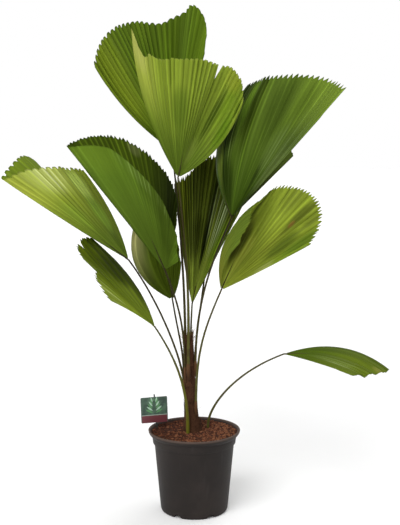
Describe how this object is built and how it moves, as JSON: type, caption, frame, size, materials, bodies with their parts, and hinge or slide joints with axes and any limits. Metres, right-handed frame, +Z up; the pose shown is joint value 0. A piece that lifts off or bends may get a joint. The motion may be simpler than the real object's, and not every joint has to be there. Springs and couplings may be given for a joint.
{
  "type": "potted ruffled fan palm",
  "caption": "Indoor fan palm with pleated, saw-edged fan leaves on slender arching stalks, a short fibrous stem, bark soil and a tapered black nursery pot with a plain plant label",
  "frame": {"origin": "centre of the flat underside of the pot, on the pot's axis", "axes": "+Z up along the pot's axis, +X to the right of the picture, towards the low drooping leaf, +Y away from the viewer"},
  "size_m": [1.0128, 0.6828, 1.337],
  "materials": {
    "pot": "matte",
    "soil": "rough bark and coir chips",
    "stem": "fibrous",
    "petiole": "satin",
    "leaf": "satin, pleated",
    "label": "satin card",
    "stick": "satin"
  },
  "bodies": {
    "root": {"pot": "pot", "soil": "soil", "stem": "stem", "petiole_top_back": "petiole", "petiole_top_front": "petiole", "petiole_upper_right": "petiole", "petiole_mid_right": "petiole", "petiole_centre_back": "petiole", "petiole_hidden_back": "petiole", "petiole_mid_left": "petiole", "petiole_outer_left": "petiole", "petiole_low_left": "petiole", "petiole_low_centre": "petiole", "petiole_low_right": "petiole", "blade_top_back": "leaf", "blade_top_front": "leaf", "blade_upper_right": "leaf", "blade_mid_right": "leaf", "blade_centre_back": "leaf", "blade_hidden_back": "leaf", "blade_mid_left": "leaf", "blade_outer_left": "leaf", "blade_low_left": "leaf", "blade_low_centre": "leaf", "blade_low_right": "leaf", "label_card": "label", "label_stick": "stick"}
  },
  "joints": []
}
